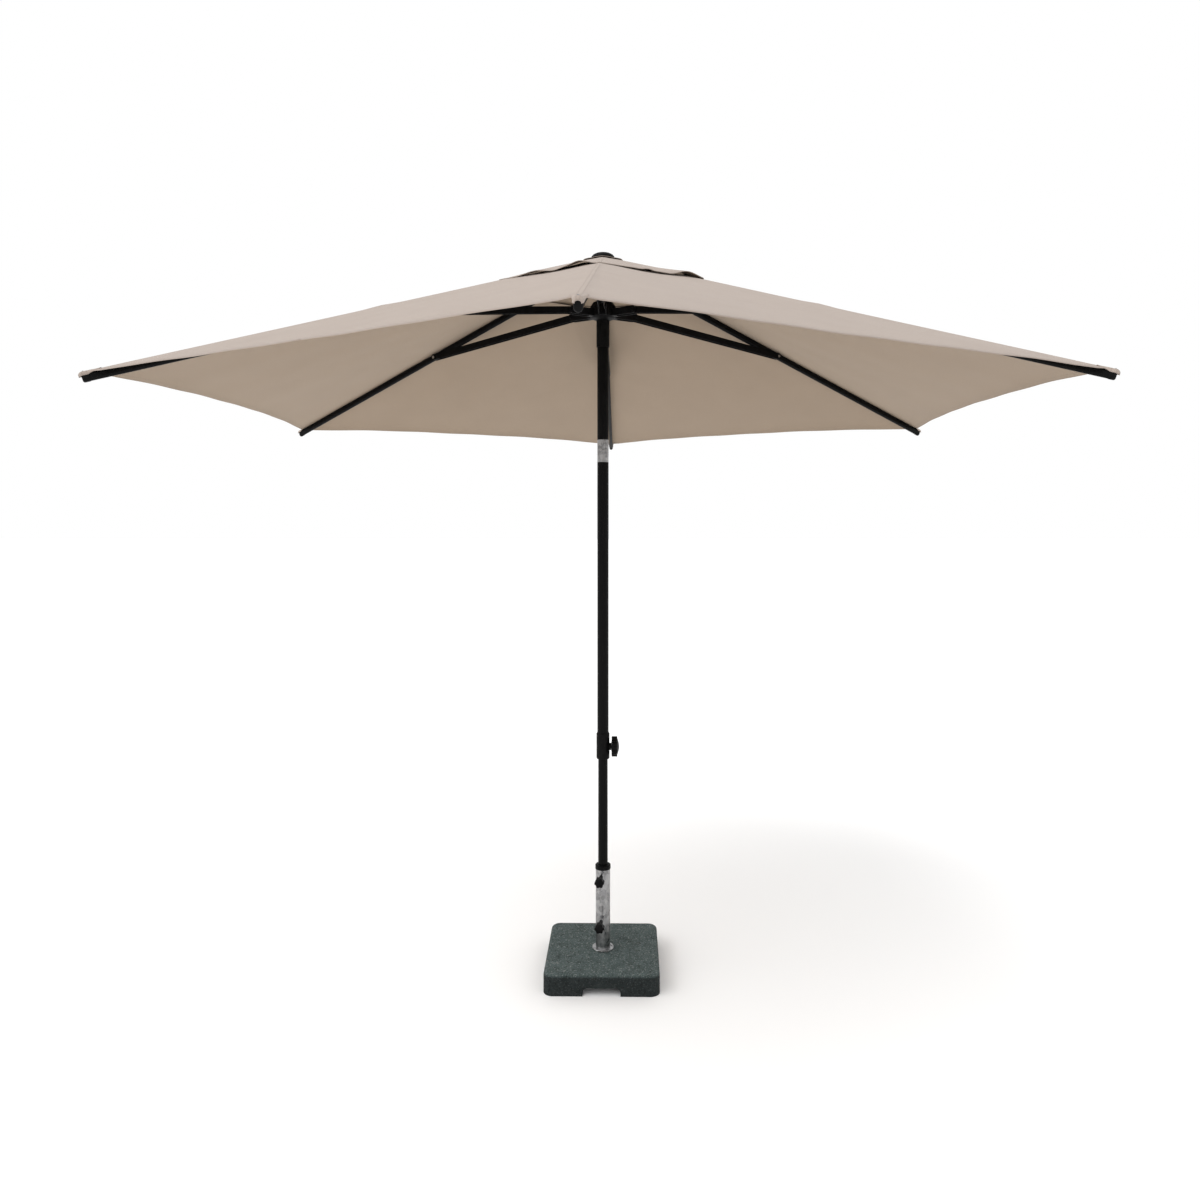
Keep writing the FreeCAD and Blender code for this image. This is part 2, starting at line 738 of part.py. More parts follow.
def make_runner():
    """The sliding hub: a sleeve on the pole, a round boss and six forked arms."""
    core = turned(
        "runner_core",
        [
            ("pole_radius + 0.5", "runner_low"),
            ("sleeve_radius", "runner_low"),
            ("sleeve_radius", "arm_height - 22"),
            ("runner_radius - 6", "arm_height - 16"),
            ("runner_radius", "arm_height - 10"),
            ("runner_radius", "runner_high - 14"),
            ("runner_radius - 9", "runner_high"),
            ("pole_radius + 0.5", "runner_high"),
        ],
    )
    arms, tools, rivets = [core], [], []
    low, high = "arm_height - arm_half - 1", "arm_height + arm_half + 1"
    for index, angle in enumerate(rib_azimuths()):
        turned_by = azimuth(angle)
        bar = block(f"arm_bar_{index}", ("pole_radius + 6", "-arm_outside", "arm_height - arm_half"),
                    ("arm_reach", "arm_outside", "arm_height + arm_half"))
        tip = cylinder(f"arm_tip_{index}", "arm_half", "arm_outside * 2",
                       ("arm_reach", "arm_outside", "arm_height"), -Y_AXIS)
        gap = block(f"arm_gap_{index}", ("runner_radius + 12", "-arm_inside", low),
                    ("arm_reach + arm_half + 1", "arm_inside", high))
        hole = cylinder(f"arm_hole_{index}", "pin_radius + seat_gap", "arm_outside * 2 + 2",
                        ("arm_reach", "arm_outside + 1", "arm_height"), -Y_AXIS)
        arms += [placed(bar, turned_by), placed(tip, turned_by)]
        tools += [placed(gap, turned_by), placed(hole, turned_by)]
        for side in (-1, 1):
            rivet = turned(
                f"arm_rivet_{index}_{side + 1}",
                [
                    ("0", "arm_inside + 0.1"),
                    ("pin_radius", "arm_inside + 0.1"),
                    ("pin_radius", "arm_outside + 0.05"),
                    ("pin_radius + 2.2", "arm_outside + 0.05"),
                    ("pin_radius + 1.6", "arm_outside + 1.2"),
                    ("pin_radius - 1", "arm_outside + 2"),
                    ("0", "arm_outside + 2"),
                ],
            )
            outward = FreeCAD.Rotation(Z_AXIS, FreeCAD.Vector(0, side, 0))
            place = FreeCAD.Vector(number("arm_reach"), 0, number("arm_height"))
            rivets.append(placed(rivet, turned_by.multiply(FreeCAD.Placement(place, outward))))
    bore = cylinder("runner_bore", "pole_radius + 0.5", "400", ("0", "0", "runner_low - 100"))
    node(cut("runner_solid", joined("runner_star", arms), tools + [bore]), "runner")
    node(group("runner_rivet_group", rivets), "runner_rivets")


def rib_frame(angle):
    """The rib's own frame: its origin on the crown pin's axis, X along the rib, Z across its top."""
    hinge = FreeCAD.Vector(number("hinge_radius"), 0, number("hinge_height"))
    slope = turn(Y_AXIS, number("rib_slope"))
    return azimuth(angle).multiply(FreeCAD.Placement(hinge, slope))


def rib_length():
    return "(canopy_radius - hinge_radius) / cos(rib_slope)"


def stadium_bar(name, radius, straight, start, length, inner=None):
    """An upright oval bar along X, or an oval tube where an inner radius is given."""
    body = new_body(name)
    sketch = sketch_on(body, "YZ_Plane", start)
    add_stadium(sketch, radius, straight)
    if inner:
        add_stadium(sketch, inner, straight)
    pad(body, sketch, length)
    return body


def make_rib(index, angle):
    frame = rib_frame(angle)
    radius = "rib_width / 2"
    straight = "(rib_height - rib_width) / 2"
    end = f"{rib_length()} - cap_length"

    tube = stadium_bar(f"rib_tube_{index}", radius, straight, "rib_start", f"{end} - rib_start",
                       f"{radius} - rib_wall")
    hole = sketch_on(tube, "XZ_Plane")
    add_circle(hole, ("pivot_reach", "0"), "pin_radius + seat_gap")
    pocket(tube, hole, "rib_width * 2")
    node(placed(tube, frame), f"rib_{index}")

    stem = block(f"root_stem_{index}", ("0", "-4.5", "-8"), ("rib_start + 34", "4.5", "8"))
    eye = cylinder(f"root_eye_{index}", "8", "9", ("0", "4.5", "0"), -Y_AXIS)
    stop = block(f"root_stop_{index}", ("rib_start - 2", "-7", "-11"), ("rib_start - 0.02", "7", "11"))
    bore = cylinder(f"root_bore_{index}", "pin_radius + running_gap", "20", ("0", "10", "0"), -Y_AXIS)
    root = cut(f"rib_root_{index}", joined(f"rib_root_shape_{index}", [stem, eye, stop]), [bore])

    cap = stadium_bar(f"rib_cap_{index}", f"{radius} + 0.8", straight, f"{end} + 0.02", "cap_length - 0.02")
    plain = cap.Tip
    rim = [
        f"Edge{i}"
        for i, edge in enumerate(plain.Shape.Edges, start=1)
        if edge.BoundBox.XMin > number(rib_length()) - 0.1
    ]
    rounding = cap.newObject("PartDesign::Fillet", f"rib_cap_round_{index}")
    rounding.Base = (plain, rim)
    bind(rounding, Radius="cap_round")
    doc.recompute()
    node(placed(group(f"rib_fitting_group_{index}", [root, cap]), frame), f"rib_fittings_{index}")

    cheek = "strut_width / 2"
    shank = cylinder(f"rivet_shank_{index}", "pin_radius", "strut_width + 1",
                     ("pivot_reach", f"{cheek} + 0.5", "0"), -Y_AXIS)
    heads = [
        cylinder(f"rivet_head_{index}_{side + 1}", "pin_radius + 2", "1.6",
                 ("pivot_reach", f"{side} * ({cheek} + clear_gap)", "0"), side * Y_AXIS)
        for side in (-1, 1)
    ]
    rivet = joined(f"rivet_{index}", [shank] + heads)
    top = "rib_height / 2 + 0.8"
    stud = doc.addObject("Part::Cone", f"tip_stud_{index}")
    bind(stud, Radius1="2.4", Radius2="1.4", Height="4.5")
    stand_at(stud, (f"{rib_length()} - stud_setback", "0", top))
    node(placed(group(f"rib_rivet_group_{index}", [rivet, stud]), frame), f"rib_rivets_{index}")


def strut_line():
    """Where the strut's outer pivot stands, how long the strut is and how steeply it rises inwards."""
    slope = math.radians(number("rib_slope"))
    pivot_x = number("hinge_radius") + number("pivot_reach") * math.cos(slope)
    pivot_z = number("hinge_height") - number("pivot_reach") * math.sin(slope)
    inward = pivot_x - number("arm_reach")
    rise = number("arm_height") - pivot_z
    slant = math.degrees(math.atan2(rise, inward))
    return FreeCAD.Vector(pivot_x, 0, pivot_z), math.hypot(inward, rise), slant


def make_strut(index, angle):
    """A channel section, open below, whose forked outer end straddles the rib."""
    pivot, length, rise = strut_line()
    body = new_body(f"strut_channel_{index}")
    half = "strut_height / 2"
    sketch = sketch_on(body, "XZ_Plane")
    start, end = FreeCAD.Vector(0, 0, 0), FreeCAD.Vector(length, 0, 0)
    size = number(half)
    quarter = math.pi / 2
    near = Part.ArcOfCircle(Part.Circle(start, Z_AXIS, size), quarter, 3 * quarter)
    far = Part.ArcOfCircle(Part.Circle(end, Z_AXIS, size), -quarter, quarter)
    below = Part.LineSegment(FreeCAD.Vector(0, -size, 0), FreeCAD.Vector(length, -size, 0))
    above = Part.LineSegment(FreeCAD.Vector(length, size, 0), FreeCAD.Vector(0, size, 0))
    near, below, far, above = [sketch.addGeometry(g, False) for g in (near, below, far, above)]
    for first, second in ((near, below), (below, far), (far, above), (above, near)):
        sketch.addConstraint(Sketcher.Constraint("Tangent", first, 2, second, 1))
    fix_point(sketch, near, 3, ("0", "0"))
    fix_point(sketch, far, 3, (str(length), "0"))
    radius = sketch.addConstraint(Sketcher.Constraint("Radius", near, size))
    sketch.setExpression(f"Constraints[{radius}]", formula(half))
    for place in ("0", str(length)):
        add_circle(sketch, (place, "0"), "pin_radius + running_gap")
    pad(body, sketch, "strut_width", both_ways=True)
    inside = sketch_on(body, "XZ_Plane")
    far_end, low = f"{length} + strut_height", f"-({half} + 1)"
    web = f"{half} - strut_wall"
    add_outline(inside, [
        ("-strut_height", low), (far_end, low), (far_end, web), ("strut_fork", web),
        ("strut_fork", f"{half} + 1"), ("-strut_height", f"{half} + 1"),
    ])
    pocket(body, inside, "strut_width - 2 * strut_wall")
    inward = FreeCAD.Placement(pivot, turn(Y_AXIS, rise).multiply(turn(Z_AXIS, 180)))
    node(placed(body, azimuth(angle).multiply(inward)), f"strut_{index}")


# ---------------------------------------------------------------- fabric


def fabric_height(apex, slope, radial, across):
    """Height of a flat gore over a point given along and across its rib."""
    return apex - math.tan(math.radians(slope)) * (radial + across * math.tan(math.pi / RIB_COUNT))


def gore_point(apex, slope, radial, across):
    return FreeCAD.Vector(radial, across, fabric_height(apex, slope, radial, across))


def panel(edges):
    face = Part.Face(Part.Wire(Part.__sortEdges__(edges)))
    return face.extrude(FreeCAD.Vector(0, 0, number("fabric_thickness")))


def main_apex():
    """Height at the pole's axis of the plane in which the main canopy's gores lie."""
    over_rib = number("(rib_height / 2 + fabric_gap) / cos(rib_slope)")
    return number("hinge_height") + over_rib + number("hinge_radius * tan(rib_slope)")


def half_gore(side):
    """From one rib to the middle of the gore beside it, with half of the scalloped hem."""
    apex, slope = main_apex(), number("rib_slope")
    gap = number("clear_gap")
    turn_half = math.pi / RIB_COUNT
    tip = number("canopy_radius - fabric_setback")
    middle = number("canopy_radius") * math.cos(turn_half) - number("hem_scallop")
    vent = number("vent_hole")

    def at(radial, across):
        return gore_point(apex, slope, radial, across)

    inner_mid = vent * math.cos(turn_half)
    corners = [
        at(vent, gap / 2),
        at(tip, gap / 2),
        at(middle * math.cos(turn_half) + gap / 2, middle * math.sin(turn_half) - gap),
        at(inner_mid * math.cos(turn_half) + gap / 2, inner_mid * math.sin(turn_half) - gap),
    ]
    # half of a shallow arc bows a quarter as far from its own chord as the whole arc does
    chord_mid = (corners[1] + corners[2]) * 0.5
    inward = at(vent, gap / 2) - at(tip, gap / 2)
    bow = corners[2] - corners[1]
    offset = inward - bow * (inward.dot(bow) / bow.dot(bow))
    offset.normalize()
    through = chord_mid + offset * (number("hem_scallop") / 4)
    edges = [
        Part.LineSegment(corners[0], corners[1]).toShape(),
        Part.Arc(corners[1], through, corners[2]).toShape(),
        Part.LineSegment(corners[2], corners[3]).toShape(),
        Part.LineSegment(corners[3], corners[0]).toShape(),
    ]
    shape = panel(edges)
    return shape if side > 0 else shape.mirror(FreeCAD.Vector(), Y_AXIS)


def make_canopy_sector(index, angle):
    """The canopy's share of one rib: the two half gores beside it."""
    sector = doc.addObject("Part::Feature", f"canopy_sector_{index}")
    sector.Shape = Part.makeCompound([half_gore(1), half_gore(-1)])
    sector.Placement = azimuth(angle)
    node(sector, f"canopy_{index}")


def make_vent_cap():
    """Six flat gores that cover the hole in the middle of the canopy, with a slot for the wind below."""
    apex = number("hinge_height + vent_rise")
    slope, gap = number("vent_slope"), number("clear_gap")
    eye, edge = number("vent_eye"), number("vent_radius")
    gores = []
    for angle in rib_azimuths():
        corners = []
        for radial, side in ((eye, 1), (edge, 1), (edge, -1), (eye, -1)):
            place = gore_point(apex, slope, radial, 0)
            place = azimuth(-side * RIB_STEP / 2).Rotation.multVec(place)
            corners.append(place + FreeCAD.Vector(gap, side * gap / 2, 0))
        edges = [Part.LineSegment(a, b).toShape() for a, b in zip(corners, corners[1:] + corners[:1])]
        gore = panel(edges)
        gore.rotate(FreeCAD.Vector(), Z_AXIS, angle + RIB_STEP / 2)
        gores.append(gore)
    cap = doc.addObject("Part::Feature", "vent_cap_gores")
    cap.Shape = Part.makeCompound(gores)
    node(cap, "vent_cap")


# ---------------------------------------------------------------- the whole umbrella

make_base_block()
make_flange()
make_socket_tube()
for knob_name in ("upper", "lower"):
    make_base_knob(knob_name)
make_lower_pole()
make_mast()
make_clamp_knob()
make_tilt_joint()
make_button_spring()
make_upper_pole()
make_runner()
for rib_index, rib_azimuth in enumerate(rib_azimuths(), start=1):
    make_rib(rib_index, rib_azimuth)
    make_strut(rib_index, rib_azimuth)
    make_canopy_sector(rib_index, rib_azimuth)
make_vent_cap()
doc.recompute()

broken = [thing.Name for thing in doc.Objects if {"Invalid", "Error"} & set(thing.State)]
if broken:
    raise RuntimeError(f"objects that failed to compute: {broken}")
for piece in nodes:
    if piece.Shape.isNull() or not piece.Shape.isValid() or not piece.Shape.Solids:
        raise RuntimeError(f"{piece.Label}: its shape is not a valid solid")

os.makedirs("parts", exist_ok=True)
for piece in nodes:
    piece.Shape.exportStep(f"parts/{piece.Label}.step")
    print(f"{piece.Label}: {len(piece.Shape.Solids)} solids, {piece.Shape.Volume / 1000:.1f} cm3")
print(f"{len(nodes)} nodes")
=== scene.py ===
import json
import math

import bpy
from mathutils import Matrix, Vector, noise


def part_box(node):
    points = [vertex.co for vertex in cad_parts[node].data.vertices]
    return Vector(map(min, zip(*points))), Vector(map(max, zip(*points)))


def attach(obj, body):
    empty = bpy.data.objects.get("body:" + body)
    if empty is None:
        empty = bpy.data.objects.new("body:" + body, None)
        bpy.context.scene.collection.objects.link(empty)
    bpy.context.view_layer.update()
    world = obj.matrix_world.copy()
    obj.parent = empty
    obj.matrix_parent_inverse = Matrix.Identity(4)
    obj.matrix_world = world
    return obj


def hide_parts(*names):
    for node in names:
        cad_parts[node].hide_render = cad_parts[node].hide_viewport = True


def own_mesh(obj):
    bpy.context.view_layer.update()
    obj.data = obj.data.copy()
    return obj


# The looks of a patio umbrella: its canopy and vent cap as sewn cloth, and a finish for every hard part.
# Metres, in the model's own frame: +Z up the pole, -Y to the front.

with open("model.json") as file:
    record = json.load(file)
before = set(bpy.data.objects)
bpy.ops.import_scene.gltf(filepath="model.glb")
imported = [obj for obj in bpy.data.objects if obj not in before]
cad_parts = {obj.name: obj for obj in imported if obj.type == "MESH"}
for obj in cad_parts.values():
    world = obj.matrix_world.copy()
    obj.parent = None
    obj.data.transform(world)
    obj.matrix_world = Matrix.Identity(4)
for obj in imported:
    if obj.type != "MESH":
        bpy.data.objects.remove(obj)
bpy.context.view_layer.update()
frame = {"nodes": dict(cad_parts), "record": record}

# ---------------------------------------------------------------- the frame's sizes

HINGES = {joint["name"]: joint for joint in frame["record"]["behaviour"]["joints"]}
RIBS = range(1, 7)
HALF_GORE = math.radians(30)
RIB_SLOPE = math.radians(18.6)
FALL = math.tan(RIB_SLOPE)
HINGE_RADIUS = math.hypot(*HINGES["rib_1_hinge"]["pos_m"][:2])
HINGE_HEIGHT = HINGES["rib_1_hinge"]["pos_m"][2]
RIB_END = 1.500  # how far a rib's cap reaches from the pole's axis
CAP_RADIUS = 0.0083
CAP_STRAIGHT = 0.0045
VENT_HOLE = 0.300
CANOPY_TIP = 1.484
HEM_MIDDLE = 1.241
CANOPY_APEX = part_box("canopy_1")[1].z - 0.001 + FALL * VENT_HOLE
VENT_FALL = math.tan(math.radians(15.6))
VENT_APEX = HINGE_HEIGHT + 0.0305


def rib_azimuth(rib):
    x, y, _ = HINGES[f"rib_{rib}_hinge"]["pos_m"]
    return math.atan2(y, x)


# ---------------------------------------------------------------- material tools


def new_material(name, **values):
    """A material whose shader sockets hold these values."""
    material = bpy.data.materials.new(name)
    material.use_nodes = True
    shader = material.node_tree.nodes["Principled BSDF"]
    for socket, value in values.items():
        shader.inputs[socket.replace("_", " ")].default_value = value
    return material, material.node_tree, shader


def add(tree, kind, settings=(), **inputs):
    """A node with its settings made and its inputs set or joined."""
    made = tree.nodes.new(kind)
    for name, value in dict(settings).items():
        setattr(made, name, value)
    for name, value in inputs.items():
        key = int(name[1:]) if name[0] == "i" and name[1:].isdigit() else name.replace("_", " ")
        if isinstance(value, bpy.types.NodeSocket):
            tree.links.new(value, made.inputs[key])
        else:
            made.inputs[key].default_value = value
    return made


def calculate(tree, operation, first, second=0.0):
    return add(tree, "ShaderNodeMath", {"operation": operation}, i0=first, i1=second).outputs[0]


def scaled(tree, vector, scale):
    """The vector with each part multiplied."""
    return add(tree, "ShaderNodeVectorMath", {"operation": "MULTIPLY"}, i0=vector, i1=scale).outputs[0]


def grain(tree, vector, scale, detail=2.0, rough=0.5):
    """Soft noise about 0.5; the scale is in waves to the metre."""
    return add(tree, "ShaderNodeTexNoise", Vector=vector, Scale=scale, Detail=detail, Roughness=rough).outputs[0]


def stretched(tree, factor, low, high, out_low=0.0, out_high=1.0):
    """The factor's range from low to high spread over another range, and held at its ends."""
    made = add(tree, "ShaderNodeMapRange", Value=factor)
    for socket, value in (("From Min", low), ("From Max", high), ("To Min", out_low), ("To Max", out_high)):
        made.inputs[socket].default_value = value
    return made.outputs[0]


def blended(tree, factor, first, second):
    """One colour turning into another."""
    made = add(tree, "ShaderNodeMix", {"data_type": "RGBA"})
    for index, value in ((0, factor), (6, first), (7, second)):
        if isinstance(value, bpy.types.NodeSocket):
            tree.links.new(value, made.inputs[index])
        else:
            made.inputs[index].default_value = (*value, 1) if hasattr(value, "__len__") else value
    return made.outputs[2]


def bumped(tree, height, distance, normal=None, strength=1.0):
    made = add(tree, "ShaderNodeBump", Height=height, Distance=distance, Strength=strength)
    if normal:
        tree.links.new(normal, made.inputs["Normal"])
    return made.outputs["Normal"]


def own_place(tree):
    """The point in the piece's own frame, in metres."""
    return add(tree, "ShaderNodeTexCoord").outputs["Object"]


# ---------------------------------------------------------------- hard materials


def make_stone():
    """Cast stone with mottling, pale grit and small pores; its side faces carry painted shade, darker than its top.
    """
    material, tree, shader = new_material("cast_stone", Roughness=0.82, Specular_IOR_Level=0.2)
    place = own_place(tree)
    clouds = stretched(tree, grain(tree, place, 26, 6, 0.65), 0.32, 0.68)
    colour = blended(tree, clouds, (0.042, 0.060, 0.058), (0.082, 0.108, 0.106))
    grit = stretched(tree, grain(tree, place, 250, 2), 0.56, 0.68)
    colour = blended(tree, calculate(tree, "MULTIPLY", grit, 0.7), colour, (0.25, 0.27, 0.265))
    specks = stretched(tree, grain(tree, place, 160, 2), 0.42, 0.31)
    colour = blended(tree, calculate(tree, "MULTIPLY", specks, 0.8), colour, (0.014, 0.019, 0.018))
    # painted shade: faces turned away from the sky are darkened to a fifth of the colour, standing in for light
    # falling from above
    side_shade_mask = add(tree, "ShaderNodeSeparateXYZ", Vector=add(tree, "ShaderNodeTexCoord").outputs["Normal"]).outputs[2]
    colour = blended(tree, stretched(tree, side_shade_mask, 0.1, 0.95), scaled(tree, colour, (0.20, 0.20, 0.205)), colour)
    tree.links.new(colour, shader.inputs["Base Color"])
    pores = stretched(tree, grain(tree, place, 380, 3), 0.30, 0.5)
    coarse = bumped(tree, grain(tree, place, 60, 4), 0.0016)
    tree.links.new(bumped(tree, pores, 0.0007, coarse), shader.inputs["Normal"])
    return material


def make_zinc():
    """Galvanised steel: spangled patches, fine draw lines and a few dull stains."""
    material, tree, shader = new_material("galvanised_steel", Metallic=1.0)
    place = own_place(tree)
    cells = add(tree, "ShaderNodeTexVoronoi", Vector=place, Scale=95.0)
    spangle = add(tree, "ShaderNodeSeparateColor", Color=cells.outputs["Color"]).outputs[0]
    stains = grain(tree, scaled(tree, place, (1, 1, 0.35)), 55, 4, 0.65)
    shade = calculate(tree, "ADD", calculate(tree, "MULTIPLY", spangle, 0.35), stains)
    colour = blended(tree, stretched(tree, shade, 0.35, 1.0), (0.15, 0.15, 0.153), (0.42, 0.42, 0.423))
    tree.links.new(colour, shader.inputs["Base Color"])
    tree.links.new(stretched(tree, stains, 0.3, 0.7, 0.22, 0.42), shader.inputs["Roughness"])
    lines = grain(tree, scaled(tree, place, (1, 1, 0.02)), 900, 2)
    tree.links.new(bumped(tree, lines, 0.00004), shader.inputs["Normal"])
    return material


def make_powder_coat():
    """Black powder-coated steel: a faint orange peel, with scuffs that catch the light."""
    material, tree, shader = new_material("black_powder_coat", Specular_IOR_Level=0.08)
    place = own_place(tree)
    scuffs = grain(tree, scaled(tree, place, (1, 1, 0.15)), 90, 5, 0.7)
    colour = blended(tree, stretched(tree, scuffs, 0.45, 0.8), (0.0016, 0.0016, 0.0017), (0.0050, 0.0050, 0.0052))
    tree.links.new(colour, shader.inputs["Base Color"])
    tree.links.new(stretched(tree, scuffs, 0.3, 0.7, 0.36, 0.55), shader.inputs["Roughness"])
    peel = grain(tree, place, 750, 2)
    tree.links.new(bumped(tree, peel, 0.00006), shader.inputs["Normal"])
    return material


def make_plastic():
    """Moulded black plastic with a fine spark-eroded grain and slightly greyed patches."""
    material, tree, shader = new_material("black_plastic", Specular_IOR_Level=0.08)
    place = own_place(tree)
    haze = grain(tree, place, 60, 4, 0.6)
    colour = blended(tree, stretched(tree, haze, 0.4, 0.75), (0.0018, 0.0018, 0.0019), (0.0058, 0.0058, 0.0060))
    tree.links.new(colour, shader.inputs["Base Color"])
    tree.links.new(stretched(tree, haze, 0.3, 0.7, 0.42, 0.62), shader.inputs["Roughness"])
    texture = grain(tree, place, 1400, 2)
    tree.links.new(bumped(tree, texture, 0.00008), shader.inputs["Normal"])
    return material


# ---------------------------------------------------------------- cloth material


def threads(tree, along, across, pitch):
    """Height of a plain weave from two thread directions, each a distance in metres."""
    first = calculate(tree, "SINE", calculate(tree, "MULTIPLY", along, 2 * math.pi / pitch))
    second = calculate(tree, "SINE", calculate(tree, "MULTIPLY", across, 2 * math.pi / pitch))
    return calculate(tree, "MULTIPLY", first, second)


def stitch_row(tree, distance, run, offset, pitch=0.0045):
    """1 on the stitches of a row that lies offset metres from an edge, 0 elsewhere."""
    away = calculate(tree, "ABSOLUTE", calculate(tree, "SUBTRACT", distance, offset))
    on_row = stretched(tree, away, 0.0006, 0.0010, 1.0, 0.0)
    phase = calculate(tree, "FRACT", calculate(tree, "DIVIDE", run, pitch))
    return calculate(tree, "MULTIPLY", on_row, calculate(tree, "LESS_THAN", phase, 0.72))


def make_cloth(name, light, dark):
    """Woven polyester: slubs, a plain weave, and stitches along the seams and the hem."""
    material, tree, shader = new_material(name, Roughness=0.88, Specular_IOR_Level=0.22, Sheen_Weight=0.12)
    shader.inputs["Sheen Roughness"].default_value = 0.6
    weave = add(tree, "ShaderNodeUVMap", {"uv_map": "weave"}).outputs[0]
    border = add(tree, "ShaderNodeUVMap", {"uv_map": "border"}).outputs[0]
    parts = add(tree, "ShaderNodeSeparateXYZ", Vector=weave)
    across, along = parts.outputs[0], parts.outputs[1]
    edge = add(tree, "ShaderNodeSeparateXYZ", Vector=border)
    run, hem = edge.outputs[0], edge.outputs[1]

    warp = grain(tree, scaled(tree, weave, (420, 9, 1)), 1.0, 2)
    weft = grain(tree, scaled(tree, weave, (9, 420, 1)), 1.0, 2)
    slubs = calculate(tree, "MULTIPLY", calculate(tree, "ADD", warp, weft), 0.5)
    clouds = grain(tree, weave, 5.5, 3)
    tone = calculate(tree, "ADD", calculate(tree, "MULTIPLY", slubs, 0.55), calculate(tree, "MULTIPLY", clouds, 0.45))
    colour = blended(tree, stretched(tree, tone, 0.36, 0.64), dark, light)

    off_rib = calculate(tree, "ABSOLUTE", across)
    rows = [stitch_row(tree, off_rib, along, 0.0048), stitch_row(tree, hem, run, 0.0030),
            stitch_row(tree, hem, run, 0.0155)]
    stitches = calculate(tree, "MAXIMUM", calculate(tree, "MAXIMUM", rows[0], rows[1]), rows[2])
    grime = stretched(tree, hem, 0.0, 0.020, 0.15, 0.0)
    colour = blended(tree, grime, colour, tuple(0.55 * part for part in dark))
    colour = blended(tree, calculate(tree, "MULTIPLY", stitches, 0.3), colour, tuple(0.6 * part for part in dark))
    tree.links.new(colour, shader.inputs["Base Color"])

    fine = threads(tree, along, across, 0.0011)
    normal = bumped(tree, fine, 0.00005)
    normal = bumped(tree, slubs, 0.00035, normal)
    normal = bumped(tree, stitches, 0.0004, normal)
    tree.links.new(normal, shader.inputs["Normal"])
    return material


STONE = make_stone()
ZINC = make_zinc()
POWDER_COAT = make_powder_coat()
PLASTIC = make_plastic()
CLOTH = make_cloth("canopy_cloth", (0.350, 0.290, 0.250), (0.326, 0.268, 0.230))
# painted shade: the underside cloth is a darker, warmer copy of the outer cloth, standing in for the shade under the
# canopy
CLOTH_INSIDE_PAINTED_SHADE = make_cloth("canopy_cloth_inside_painted_shade", (0.284, 0.214, 0.151), (0.264, 0.198, 0.139))

FINISHES = {
    "stone": STONE,
    "zinc_steel": ZINC,
    "black_steel": POWDER_COAT,
    "black_plastic": PLASTIC,
    "canopy_fabric": CLOTH,
}


def finish_frame():
    """Every CAD part takes the finish of its own material slot."""
    for part in frame["record"]["subparts"]:
        piece = frame["nodes"][part["node"]]
        piece.data.materials.clear()
        piece.data.materials.append(FINISHES[part["material_slot"]])


# ---------------------------------------------------------------- cloth pieces


def cloth_shell(name, rows, columns, place):
    """A closed sheet over a grid; place gives a point, its thickness and its two pairs of cloth distances."""
    points, faces, weave, border, inside = [], [], [], [], []
    grid = [[place(row, column) for column in columns] for row in rows]
    wide = len(columns)
    for level in (1, -1):
        for line in grid:
            for point, thickness, cloth, edge in line:
                points.append(point + Vector((0, 0, level * thickness / 2)))
                weave.append(cloth)
                border.append(edge)
    lower = len(points) // 2
    for i in range(len(rows) - 1):
        for j in range(wide - 1):
            a = i * wide + j
            quad = (a, a + 1, a + wide + 1, a + wide)
            faces.append(quad)
            inside.append(0)
            faces.append(tuple(lower + k for k in reversed(quad)))
            inside.append(1)
    last = (len(rows) - 1) * wide
    rim = [*range(wide), *[i * wide + wide - 1 for i in range(1, len(rows))]]
    rim += [*[last + j for j in range(wide - 2, -1, -1)], *[i * wide for i in range(len(rows) - 2, 0, -1)]]
    for a, b in zip(rim, rim[1:] + rim[:1]):
        faces.append((b, a, lower + a, lower + b))
        inside.append(0)
    mesh = bpy.data.meshes.new(name)
    mesh.from_pydata([tuple(p) for p in points], [], faces)
    for label, values in (("weave", weave), ("border", border)):
        layer = mesh.uv_layers.new(name=label)
        for loop in mesh.loops:
            layer.data[loop.index].uv = values[loop.vertex_index]
    # the lower faces take the darker cloth, which is painted shade
    for material in (CLOTH, CLOTH_INSIDE_PAINTED_SHADE):
        mesh.materials.append(material)
    for face, index in zip(mesh.polygons, inside):
        face.material_index = index
        face.use_smooth = True
    around = {frozenset(pair) for pair in zip(rim, rim[1:] + rim[:1])}
    around |= {frozenset(lower + corner for corner in pair) for pair in around}
    for edge in mesh.edges:
        edge.use_edge_sharp = frozenset(edge.vertices) in around
    piece = bpy.data.objects.new(name, mesh)
    bpy.context.scene.collection.objects.link(piece)
    return piece


def outward_faces(piece, side):
    """A piece made on the rib's other hand has its faces turned round."""
    if side < 0:
        piece.data.flip_normals()


SEAM_HALF = 0.006  # half the width of the flat-felled seam over each rib
HEM_WIDTH = 0.018
CLOTH_THICKNESS = 0.0009
SEAM_THICKNESS = 0.0019
HEM_THICKNESS = 0.0024


def seam_columns(count):
    """Places across half a gore: four on the seam, in metres, and the rest as shares of what is left."""
    seam = [("seam", t) for t in (0.0, 0.003, SEAM_HALF, SEAM_HALF + 0.0008)]
    return seam + [("gore", (j + 1) / count) for j in range(count)]


def hem_rows(count):
    """Places along half a gore: even shares of its length, then fine steps over the hem, in metres."""
    steps = [HEM_WIDTH + 0.012, HEM_WIDTH + 0.001, HEM_WIDTH, HEM_WIDTH / 2, 0.001, 0.0]
    return [("gore", i / count) for i in range(count)] + [("hem", step) for step in steps]


